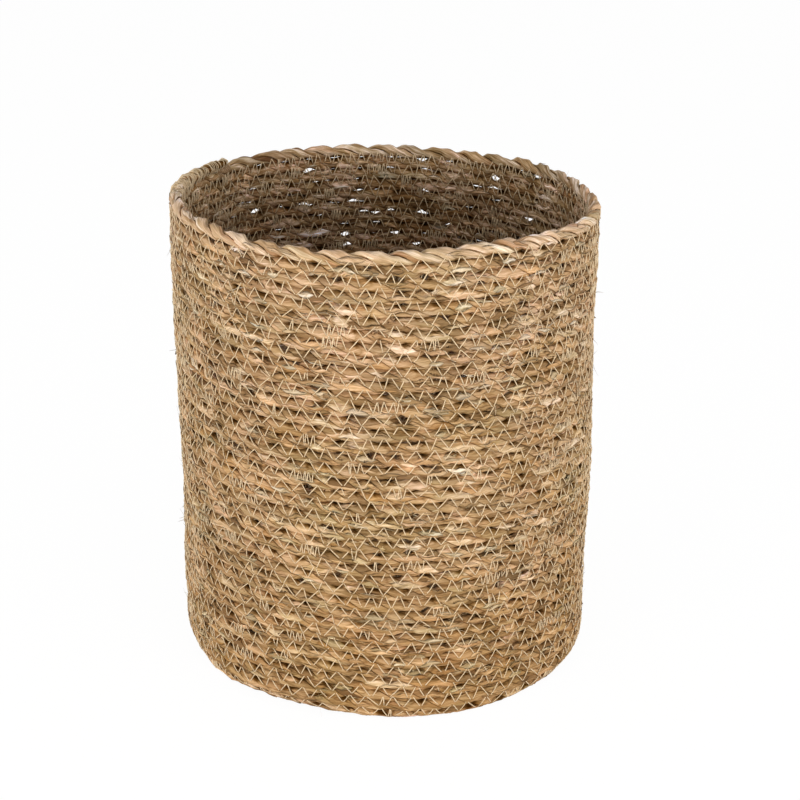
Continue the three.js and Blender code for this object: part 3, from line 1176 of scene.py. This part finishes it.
@dataclass
class LeafWraps:
    """Edges and split ends of dry leaves that lie proud of the cord."""

    shape: CordShape
    thickness: float = 0.11 * MM
    least_run: float = 6 * MM
    most_run: float = 15 * MM
    least_width: float = 0.8 * MM
    most_width: float = 2.4 * MM
    follow: tuple[float, float] = (0.9, 1.7)
    side_spread: float = 0.35
    least_lift: float = 0.2 * MM
    most_curl: float = 1.4 * MM
    other_leaf_share: float = 0.4

    def bend(self, start: float, end: float, face: Face, count: int, seed: int) -> Bend:
        """The bend of the wraps on one face between two numbers of turns.

        Args:
            start: The number of turns where they start.
            end: The number of turns where they end.
            face: The face of the basket.
            count: How many wraps there are.
            seed: Sets their places and sizes.

        Returns:
            A function that says where the points of straight strips go.
        """
        route = self.shape.route
        chance = np.random.default_rng(seed)
        first, last = route.span(start, end)
        middle = chance.uniform(first, last, count)
        ply = chance.integers(0, 2, count)
        aim = 0.0 if face is Face.OUTSIDE else math.pi
        phase = self.shape.phase(middle, ply) - aim
        off = np.mod(phase + math.pi, FULL_TURN) - math.pi
        wanted = chance.normal(0, 0.45, count)
        lay = self.shape.rim_lay if start > route.wall_middle + 8 else self.shape.wall_lay
        middle = middle - (off - wanted) * lay / FULL_TURN
        run = chance.uniform(self.least_run, self.most_run, count)
        width = chance.uniform(self.least_width, self.most_width, count)
        follow = chance.uniform(*self.follow, count)
        side = chance.normal(0, self.side_spread, count)
        curl = np.minimum(chance.exponential(0.28, count) * MM, self.most_curl)
        tip = chance.choice([-1.0, 1.0], count)
        strange = chance.random(count) < self.other_leaf_share
        other = np.where(strange, chance.uniform(20, 400, count), 0.0)

        def bend(tube: Straight) -> Bent:
            """Lays the wraps on their plies.

            Args:
                tube: The points of the straight strips.

            Returns:
                Their places and marks.
            """
            own = tube.number
            length = np.clip(middle[own] + (tube.share - 0.5) * run[own], first, last)
            turns = route.turns_at(length)
            ray = np.sin(np.pi * np.clip(tube.share, 0.01, 0.99)) ** 0.6
            half = width[own] * ray
            across_leaf = half * np.cos(tube.angle)
            turned = self.shape.phase(length, ply[own])
            centre = self.shape.phase(middle, ply)[own]
            angle = side[own] - follow[own] * (turned - centre) + across_leaf / (2.6 * MM)
            outward, sideways = np.zeros_like(length), np.zeros_like(length)
            for which in Ply:
                mine = ply[own] == which.value
                found = self.shape.section(turns[mine], angle[mine], which)
                outward[mine], sideways[mine] = found[0], found[1]
            away = np.maximum(np.hypot(outward, sideways), 1e-6)
            end_share = np.clip(0.5 + tip[own] * (tube.share - 0.5), 0, 1)
            lift = self.least_lift + curl[own] * end_share**5
            lift = lift + self.thickness * np.sin(tube.angle) * ray
            grow = 1 + lift / away
            points = self.shape.points(turns, outward * grow, sideways * grow)
            grain = self.shape.grain(length, angle, ply[own])
            grain[:, 2] += other[own]
            return Bent(points, grain, np.zeros(len(own)))

        return bend

    def build(self, seagrass: Material, rim: Material, pale: Material) -> None:
        """Makes the wraps of the base, the wall and the rim.

        Args:
            seagrass: The finish of the base's and the wall's leaves.
            rim: The finish of the rim's leaves.
            pale: The finish of the pale split leaves.
        """
        route = self.shape.route
        corner, wall, top = route.cord_start + 1, route.wall_start, route.rim_start - 0.2
        groups = [
            ("base_leaf_edges", corner, wall, Face.INSIDE, 260, "base_cord"),
            ("under_leaf_edges", corner, wall, Face.OUTSIDE, 260, "base_cord"),
            ("outer_leaf_edges", wall, top, Face.OUTSIDE, 1600, "wall_cord"),
            ("inner_leaf_edges", wall, top, Face.INSIDE, 700, "wall_cord"),
            ("rim_leaf_edges", top + 0.3, route.tail_start - 0.02, Face.OUTSIDE, 30, "rim_cord"),
            ("pale_outer_leaves", wall, top, Face.OUTSIDE, 420, "wall_cord"),
            ("pale_inner_leaves", wall, top, Face.INSIDE, 160, "wall_cord"),
        ]
        for number, (name, start, end, face, count, slot) in enumerate(groups):
            bend = self.bend(start, end, face, count, 70 + number)
            piece = bent_tubes(name, 4, 8, bend, count)
            finish = pale if name.startswith("pale") else seagrass
            dress(piece, rim if slot == "rim_cord" else finish, slot)


@dataclass
class LooseFibres:
    """Fine fibres that stick out of the cord."""

    shape: CordShape
    radius: float = 0.15 * MM
    tuft_size: int = 9
    tuft_spread: float = 6 * MM
    root_depth: float = 0.2 * MM

    def bend(self, start: float, end: float, face: Face, count: int, seed: int) -> Bend:
        """The bend of the fibres on one face between two numbers of turns.

        Args:
            start: The number of turns where they start.
            end: The number of turns where they end.
            face: The face of the basket.
            count: How many fibres there are.
            seed: Sets their places and sizes.

        Returns:
            A function that says where the points of straight tubes go.
        """
        route = self.shape.route
        chance = np.random.default_rng(seed)
        first, last = route.span(start, end)
        tufts = chance.uniform(first, last, count // self.tuft_size + 1)
        length = tufts[chance.integers(0, len(tufts), count)]
        length = np.clip(length + chance.normal(0, self.tuft_spread, count), first, last)
        turns = route.turns_at(length)
        middle, across, out = route.middle(turns)
        beside = chance.uniform(-2.6, 2.6, count) * MM
        height = self.shape.seat(turns, beside, face)
        root = shifted(middle, across, beside, out, face.value * height)
        along = np.cross(out, across)
        slant = chance.normal(0, 0.5, count)
        forward = np.where(chance.random(count) < 0.5, 1.0, -1.0)
        low = 0.35 if start >= route.rim_start else 1.0
        run = chance.gamma(3.0, 2.2, count).clip(2.5, 16) * MM * low
        rise = low * chance.exponential(0.16, count).clip(0.02, 0.45)
        bow = chance.normal(0, 0.25, count)

        def bend(tube: Straight) -> Bent:
            """Stands the fibres on the cord.

            Args:
                tube: The points of the straight fibres.

            Returns:
                Their places and marks.
            """
            own, share = tube.number, tube.share
            reach = run[own] * share
            heading = along * (forward * np.cos(slant))[:, None] + across * np.sin(slant)[:, None]
            lift = face.value * (rise[own] * share**1.3 * run[own] - self.root_depth)
            points = shifted(root[own], heading[own], reach, out[own], lift)
            points = points + across[own] * (bow[own] * share**2 * run[own])[:, None]
            thin = self.radius * (1.15 - share)
            ring = np.stack([np.cos(tube.angle) * 1.6 * thin, np.sin(tube.angle) * 0.8 * thin], -1)
            points = points + across[own] * ring[:, :1] + out[own] * ring[:, 1:]
            points[:, 2] = np.maximum(points[:, 2], FLOOR_CLEAR)
            grain = [np.cos(tube.angle) + 5.1 * own, np.sin(tube.angle), reach / MM + 3.0 * own]
            return Bent(points, np.stack(grain, -1), np.zeros(len(own)))

        return bend

    def build(self, seagrass: Material) -> None:
        """Makes the fibres of the wall and the rim.

        Args:
            seagrass: The fibres' finish.
        """
        route = self.shape.route
        wall, top = route.wall_start, route.rim_start
        groups = [
            ("outer_fibres", wall, top - 1, Face.OUTSIDE, 1500, "wall_cord"),
            ("inner_fibres", wall, top - 2, Face.INSIDE, 400, "wall_cord"),
            ("rim_fibres", top, route.tail_start, Face.OUTSIDE, 30, "rim_cord"),
        ]
        for number, (name, start, end, face, count, slot) in enumerate(groups):
            bend = self.bend(start, end, face, count, 90 + number)
            dress(bent_tubes(name, 4, 5, bend, count), seagrass, slot)


@dataclass
class NodeBench:
    """The nodes of a material or a world."""

    owner: Material | bpy.types.World

    def __post_init__(self) -> None:
        """Starts with no nodes."""
        self.owner.use_nodes = True
        self.tree = self.owner.node_tree
        self.tree.nodes.clear()

    def add(self, kind: str, inputs: dict | None = None, **settings: object) -> bpy.types.Node:
        """A new node.

        Args:
            kind: The node's type, without its usual first words.
            inputs: Values or other nodes' outputs for its inputs, by name or number.
            settings: The node's own settings.

        Returns:
            The node.
        """
        node = self.tree.nodes.new(f"ShaderNode{kind}")
        for key, value in settings.items():
            setattr(node, key, value)
        for key, value in (inputs or {}).items():
            if isinstance(value, bpy.types.NodeSocket):
                self.tree.links.new(value, node.inputs[key])
            else:
                node.inputs[key].default_value = value
        return node

    def math(self, kind: str, first: object, second: object = 0.0) -> Socket:
        """The result of a sum on two values."""
        return self.add("Math", {0: first, 1: second}, operation=kind).outputs[0]

    def times(self, *values: object) -> Socket:
        """The product of values."""
        return reduce(lambda first, second: self.math("MULTIPLY", first, second), values)

    def plus(self, first: object, second: object) -> Socket:
        """The sum of two values."""
        return self.math("ADD", first, second)

    def vector_math(self, kind: str, first: object, second: object) -> Socket:
        """The result of a sum on two vectors."""
        return self.add("VectorMath", {0: first, 1: second}, operation=kind).outputs[0]

    def stretched(self, vector: Socket, scale: tuple) -> Socket:
        """A vector with each axis multiplied."""
        return self.vector_math("MULTIPLY", vector, scale)

    def ranged(self, value: Socket, old: tuple[float, float], new: tuple[float, float]) -> Socket:
        """A value moved from one range to another, and held to it."""
        inputs = {"Value": value, 1: old[0], 2: old[1], 3: new[0], 4: new[1]}
        return self.add("MapRange", inputs).outputs[0]

    def noise(self, vector: Socket, scale: float, detail: float, rough: float = 0.5) -> Outputs:
        """A noise pattern's outputs."""
        inputs = {"Vector": vector, "Scale": scale, "Detail": detail, "Roughness": rough}
        return self.add("TexNoise", inputs).outputs

    def mixed(self, share: object, first: object, second: object, blend: str = "MIX") -> Socket:
        """Two colours mixed."""
        inputs = {0: share, 6: first, 7: second}
        return self.add("Mix", inputs, data_type="RGBA", blend_type=blend).outputs[2]

    def tinted(self, *colours: object) -> Socket:
        """The product of colours."""
        return reduce(lambda one, other: self.mixed(1.0, one, other, "MULTIPLY"), colours)

    def ramp(self, value: Socket, stops: Stops) -> Socket:
        """A colour chosen by a value.

        Args:
            value: The value, from 0 to 1.
            stops: The places and colours of the ramp.

        Returns:
            The colour between the nearest two stops.
        """
        node = self.add("ValToRGB", {0: value})
        band = node.color_ramp
        while len(band.elements) < len(stops):
            band.elements.new(0.5)
        for element, (place, colour) in zip(band.elements, stops):
            element.position = place
            element.color = colour
        return node.outputs[0]

    def seen(self) -> Socket:
        """Tells what a viewer sees, straight, in a mirror or through glass, from light.

        Returns:
            1 for what is seen and 0 for light.
        """
        ray = self.add("LightPath").outputs
        either = self.math("MAXIMUM", ray["Is Camera Ray"], ray["Is Glossy Ray"])
        return self.math("MAXIMUM", either, ray["Is Transmission Ray"])

    def end(self, kind: str, shader: bpy.types.Node) -> None:
        """Joins the last shader to the output of a material or a world."""
        self.add(f"Output{kind}", {0: shader.outputs[0]})


@dataclass
class LeafMarks:
    """What the look of a leaf is made from at each point of a ply."""

    grain: Socket
    # Painted shade from the plies' depth attribute.
    depth: Socket
    place: Socket
    hue: Outputs
    edge: Socket
    fine: Socket
    coarse: Socket
    # Where the inner face's painted shade goes: within the wall's inner radius.
    inside: Socket


@dataclass(frozen=True)
class SeagrassFinish:
    """Dried seagrass leaves twisted into a ply: each leaf has its own hue and fine fibres."""

    name: str
    leaves: Stops
    leaf_width: float = 4.4
    leaf_length: float = 19.0
    roughness: float = 0.62
    # How dark each leaf's edge is painted, as a thin shadow where one leaf lies on the next.
    edge: float = 0.64
    spread: float = 1.0
    # A brighter, bluer tint painted on the inner face for the colour of its shade, strongest low
    # down.
    inside: Colour = (1.08, 1.11, 1.34, 1)
    # A tint painted as shade on the back half of the basket.
    back: Colour = WHITE
    # Tints painted as shade by height: darker and yellower towards the bottom, a little bluer
    # towards the top.
    height_shades: Stops = (
        (0.02, (0.86, 0.80, 0.66, 1)),
        (0.12, (0.98, 0.98, 0.97, 1)),
        (0.25, (0.99, 1.0, 1.07, 1)),
    )
    warmths: Stops = (
        (0.40, (0.98, 1.0, 0.92, 1)),
        (0.5, WHITE),
        (0.60, (1.0, 0.99, 1.02, 1)),
    )
    batches: Stops = (
        (0.34, (0.84, 0.86, 0.84, 1)),
        (0.5, WHITE),
        (0.64, (1.08, 1.06, 1.05, 1)),
    )
    # Within this radius the inner face is painted as in shade: more contrast, and a gain.
    inner_radius: tuple[float, float] = (0.1155, 0.117)
    inner_painted_contrast: float = 0.7
    inner_painted_gain: float = 0.24
    fibre_depth: float = 0.4 * MM
    green_fade: float = 1.24
    blue_fade: float = 1.75

    def marks(self, bench: NodeBench) -> LeafMarks:
        """Reads where each point lies, on which leaf and on which face.

        Args:
            bench: The material's nodes.

        Returns:
            The marks of each point.
        """
        grain = bench.add("Attribute", attribute_name="grain").outputs["Vector"]
        place = bench.add("TexCoord").outputs["Object"]
        slow = bench.noise(bench.stretched(grain, (0.22, 0.22, 0.03)), 1.0, 2.0)["Color"]
        bent = bench.vector_math("SUBTRACT", slow, (0.5, 0.5, 0.5))
        cell = (1 / self.leaf_width, 1 / self.leaf_width, 1 / self.leaf_length)
        cells = bench.vector_math(
            "ADD", bench.stretched(grain, cell), bench.stretched(bent, (1.1, 1.1, 0.4))
        )
        pattern = {"Vector": cells, "Scale": 1.0}
        leaf = bench.add("TexVoronoi", pattern).outputs["Color"]
        level = bench.stretched(place, (1, 1, 0))
        radius = bench.add("VectorMath", {0: level}, operation="LENGTH").outputs["Value"]
        return LeafMarks(
            grain=grain,
            depth=bench.add("Attribute", attribute_name="depth").outputs["Fac"],
            place=place,
            hue=bench.add("SeparateColor", {0: leaf}).outputs,
            edge=bench.add("TexVoronoi", pattern, feature="DISTANCE_TO_EDGE").outputs[0],
            fine=bench.noise(bench.stretched(grain, (2.4, 1, 0.11)), 1.0, 3.0, 0.6)[0],
            coarse=bench.noise(bench.stretched(grain, (0.8, 1, 0.09)), 1.0, 3.0)[0],
            inside=bench.ranged(radius, self.inner_radius, (1.0, 0.0)),
        )

    def brightness(self, bench: NodeBench, marks: LeafMarks) -> Socket:
        """How bright each point is, with painted shade in the creases, along leaf edges and on the
        inner face.

        Args:
            bench: The material's nodes.
            marks: The marks of each point.

        Returns:
            The brightness.
        """
        patch = bench.noise(marks.place, 40.0, 3.0)[0]
        hues = (1 - 0.26 * self.spread, 1 + 0.16 * self.spread)
        # The depth mark paints shade in the creases, the seam pockets and on the inner face, and
        # leaf edges are painted darker as thin shadows.
        value = bench.times(
            bench.ranged(marks.fine, (0.3, 0.7), (0.7, 1.26)),
            bench.ranged(marks.coarse, (0.32, 0.68), (0.7, 1.2)),
            bench.ranged(marks.hue[1], (0, 1), hues),
            bench.ranged(marks.edge, (0.0, 0.07), (self.edge, 1.0)),
            bench.ranged(marks.depth, (0.08, 0.9), (1.0, 0.28)),
            bench.ranged(patch, (0.34, 0.66), (0.85, 1.13)),
        )
        # Painted light and shade on the inner face: more contrast, and a gain.
        contrast = bench.plus(1.0, bench.times(marks.inside, self.inner_painted_contrast))
        value = bench.math("POWER", value, contrast)
        return bench.times(value, bench.plus(1.0, bench.times(marks.inside, self.inner_painted_gain)))

    def colour(self, bench: NodeBench, marks: LeafMarks) -> Socket:
        """Each leaf's colour, drifting along the cord and over the basket, with painted shade tints.

        Args:
            bench: The material's nodes.
            marks: The marks of each point.

        Returns:
            The colour, before its brightness.
        """
        axes = bench.add("SeparateXYZ", {0: marks.place}).outputs
        broad = bench.noise(marks.place, 20.0, 2.0)[0]
        leafy = bench.noise(bench.stretched(marks.grain, (0.12, 1, 0.05)), 1.0, 2.0)["Color"]
        leafy = bench.add("SeparateColor", {0: leafy}).outputs[1]
        mingled = bench.plus(bench.times(broad, 0.45), bench.times(leafy, 0.55))
        stretch = bench.noise(bench.stretched(marks.grain, (0.02, 1, 0.016)), 1.0, 2.0)[0]
        colour = bench.tinted(
            bench.ramp(marks.hue[0], self.leaves),
            bench.ramp(mingled, self.warmths),
            bench.ramp(stretch, self.batches),
        )
        # A tint painted as shade on the inner face, fading out towards the rim.
        low_inside_shade = bench.times(marks.inside, bench.ranged(axes[2], (0.17, 0.24), (1.0, 0.1)))
        colour = bench.mixed(low_inside_shade, colour, bench.tinted(colour, self.inside))
        # Painted shade by height: darker and yellower towards the bottom.
        colour = bench.tinted(colour, bench.ramp(axes[2], self.height_shades))
        # Painted shade: the back half of the basket takes the back tint.
        behind = bench.ranged(axes[1], (-0.02, 0.07), (0, 1))
        return bench.mixed(behind, colour, bench.tinted(colour, self.back))

    def ridges(self, bench: NodeBench, marks: LeafMarks) -> Socket:
        """The small relief of the fibres and of the leaves' edges.

        Args:
            bench: The material's nodes.
            marks: The marks of each point.

        Returns:
            The normal.
        """
        height = bench.plus(
            bench.times(marks.fine, 0.5), bench.ranged(marks.edge, (0.0, 0.12), (0.0, 0.4))
        )
        height = bench.plus(height, bench.times(marks.coarse, 0.5))
        bump = {"Height": height, "Strength": 0.75, "Distance": self.fibre_depth}
        return bench.add("Bump", bump).outputs[0]

    def material(self) -> Material:
        """Makes the material, which reads the grain marks and the painted shade of the depth marks
        of the plies.

        Returns:
            The material.
        """
        material = bpy.data.materials.new(self.name)
        bench = NodeBench(material)
        marks = self.marks(bench)
        red = self.brightness(bench, marks)
        green = bench.math("POWER", red, self.green_fade)
        blue = bench.math("POWER", red, self.blue_fade)
        shade = bench.add("CombineColor", {0: red, 1: green, 2: blue}).outputs[0]
        dry = (self.roughness - 0.08, self.roughness + 0.12)
        look = {
            "Base Color": bench.tinted(self.colour(bench, marks), shade),
            "Roughness": bench.ranged(marks.fine, (0.3, 0.7), dry),
            "Normal": self.ridges(bench, marks),
            # Where the depth mark paints shade, the gloss is taken out as well.
            "Specular IOR Level": bench.ranged(marks.depth, (0.0, 0.8), (0.2, 0.0)),
        }
        bench.end("Material", bench.add("BsdfPrincipled", look))
        return material


@dataclass(frozen=True)
class ThreadFinish:
    """Twisted sewing thread."""

    name: str
    colour: Colour
    shade: Colour
    twist: float = 0.9
    ridge_depth: float = 0.08 * MM

    def material(self) -> Material:
        """Makes the material, with its twist as fine slanting ridges.

        Returns:
            The material.
        """
        material = bpy.data.materials.new(self.name)
        bench = NodeBench(material)
        grain = bench.add("Attribute", attribute_name="grain").outputs["Vector"]
        axes = bench.add("SeparateXYZ", {0: grain}).outputs
        angle = bench.math("ARCTAN2", axes[1], axes[0])
        turn = bench.times(axes[2], FULL_TURN / self.twist)
        ridge = bench.math("SINE", bench.plus(turn, bench.times(angle, 2.0)))
        soft = bench.noise(bench.stretched(grain, (0.2, 0.2, 0.25)), 1.0, 1.0)[0]
        share = bench.plus(bench.ranged(ridge, (-1, 1), (0.0, 0.35)), bench.times(soft, 0.9))
        share = bench.ranged(share, (0.25, 0.95), (0, 1))
        bump = {"Height": ridge, "Strength": 0.4, "Distance": self.ridge_depth}
        look = {
            "Base Color": bench.mixed(share, self.colour, self.shade),
            "Normal": bench.add("Bump", bump).outputs[0],
            "Roughness": 0.6,
            "Sheen Weight": 0.15,
        }
        bench.end("Material", bench.add("BsdfPrincipled", look))
        return material


@dataclass
class PhotoStudio:
    """The plain white floor, the soft lamps and the camera."""

    floor_half: float = 6.0
    floor_glow: float = 1.04
    glow_share: float = 0.92
    world_strength: float = 0.42
    camera_place: tuple[float, float, float] = (0.0, -0.9624, 0.5155)
    camera_tilt: float = 68.9
    lens: float = 79.6
    sensor_width: float = 36.0
    shift: float = 0.0186
    aim_height: float = 0.12

    def white(self) -> Material:
        """Makes a pale floor that a viewer sees as white, with the object's soft shadow on it.

        Returns:
            The floor's material.
        """
        material = bpy.data.materials.new("pale_floor")
        bench = NodeBench(material)
        share = bench.times(bench.seen(), self.glow_share)
        pale = bench.add("BsdfDiffuse", {"Color": tint(240, 240, 238)}).outputs[0]
        glow = bench.add("Emission", {"Color": WHITE, "Strength": self.floor_glow}).outputs[0]
        bench.end("Material", bench.add("MixShader", {0: share, 1: pale, 2: glow}))
        return material

    def build(self) -> None:
        """Makes the floor, the world, the lamps and the camera."""
        self.lay_floor()
        self.light_world()
        self.lamp("left_softbox", (-1.36, -1.36, 0.31), (1.6, 0.48), 22.8)
        self.lamp("right_softbox", (1.4, -1.32, 0.31), (1.6, 0.48), 23.0)
        self.lamp("top_softbox", (0.0, -0.7, 2.2), (1.0, 1.0), 3.6)
        self.stand_camera()
        bpy.context.scene.view_settings.view_transform = "Standard"

    def lay_floor(self) -> None:
        """Lays the floor under the basket."""
        shape = bmesh.new()
        bmesh.ops.create_grid(shape, x_segments=1, y_segments=1, size=self.floor_half)
        mesh = mesh_of("floor", shape)
        mesh.materials.append(self.white())
        floor = in_scene("floor", mesh)
        floor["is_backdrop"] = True

    def stand_camera(self) -> None:
        """Stands the camera where it sees the basket as in the photograph."""
        camera = bpy.data.cameras.new("photo_camera")
        camera.lens = self.lens
        camera.sensor_width = self.sensor_width
        camera.shift_x = self.shift
        camera.clip_start = 0.01
        eye = in_scene("photo_camera", camera)
        eye.location = self.camera_place
        eye.rotation_euler = (math.radians(self.camera_tilt), 0, 0)
        bpy.context.scene.camera = eye

    def light_world(self) -> None:
        """Makes a world that lights softly from all round and looks white."""
        world = bpy.data.worlds.new("studio")
        bpy.context.scene.world = world
        bench = NodeBench(world)
        soft = bench.add("Background", {0: WHITE, 1: self.world_strength}).outputs[0]
        white = bench.add("Background", {0: WHITE}).outputs[0]
        bench.end("World", bench.add("MixShader", {0: bench.seen(), 1: soft, 2: white}))

    def lamp(self, name: str, place: tuple, size: tuple[float, float], watts: float) -> None:
        """Hangs a soft lamp that faces the basket.

        Args:
            name: The lamp's name.
            place: Where it hangs.
            size: Its width and height.
            watts: Its power.
        """
        light = bpy.data.lights.new(name, "AREA")
        light.shape = "RECTANGLE"
        light.size, light.size_y = size
        light.energy = watts
        lamp = in_scene(name, light)
        lamp.location = place
        aim = Vector((0, 0, self.aim_height)) - Vector(place)
        lamp.rotation_euler = aim.to_track_quat("-Z", "Y").to_euler()


WALL_LEAVES = shades({
    0.00: (140, 108, 72), 0.08: (164, 130, 90), 0.20: (182, 150, 108), 0.34: (194, 158, 116),
    0.45: (203, 166, 123), 0.485: (204, 161, 113), 0.515: (203, 160, 111), 0.55: (206, 169, 126),
    0.64: (208, 171, 128), 0.78: (204, 165, 126), 0.88: (214, 180, 139), 0.95: (220, 190, 152),
    1.00: (228, 204, 170),
})
RIM_LEAVES = shades({
    0.00: (176, 132, 92), 0.12: (200, 160, 118), 0.20: (213, 178, 138), 0.45: (222, 190, 152),
    0.70: (227, 199, 164), 0.88: (231, 206, 174), 1.00: (235, 213, 184),
})
PALE_LEAVES = shades({0.0: (194, 170, 137), 0.5: (208, 187, 154), 1.0: (221, 204, 175)})


def main() -> None:
    """Builds the studio and the basket, and logs each piece."""
    logging.basicConfig(level=logging.INFO, format="%(name)s %(message)s")
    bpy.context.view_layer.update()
    PhotoStudio().build()
    low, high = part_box("rim_rope")
    route = CordRoute(height=high.z, diameter=high.x - low.x)
    shape = CordShape(route)
    seagrass = SeagrassFinish("seagrass", WALL_LEAVES).material()
    rim = SeagrassFinish(
        "rim_seagrass",
        RIM_LEAVES,
        leaf_width=4.0,
        leaf_length=50.0,
        roughness=0.55,
        edge=0.84,
        spread=1.1,
        inside=WHITE,
        # The rim's back half is painted darker and browner, as in shade.
        back=(0.85, 0.80, 0.73, 1),
    ).material()
    pale = SeagrassFinish(
        "split_seagrass",
        PALE_LEAVES,
        leaf_width=1.6,
        leaf_length=20.0,
        roughness=0.7,
        edge=0.7,
        spread=0.6,
        # The pale leaves on the inner face are painted darker and browner, as in shade.
        inside=(0.66, 0.58, 0.44, 1),
    ).material()
    CoiledCord(shape).build(seagrass, rim)
    thread = ThreadFinish("beige_thread", tint(240, 217, 179), tint(211, 183, 142)).material()
    seam = ZigzagSeam(shape)
    seam.build(thread)
    TailLashing(shape).build(thread)
    ThreadKnots(seam).build(thread)
    LeafWraps(shape).build(seagrass, rim, pale)
    LooseFibres(shape).build(pale)
    low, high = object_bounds()


if __name__ == "__main__":
    main()
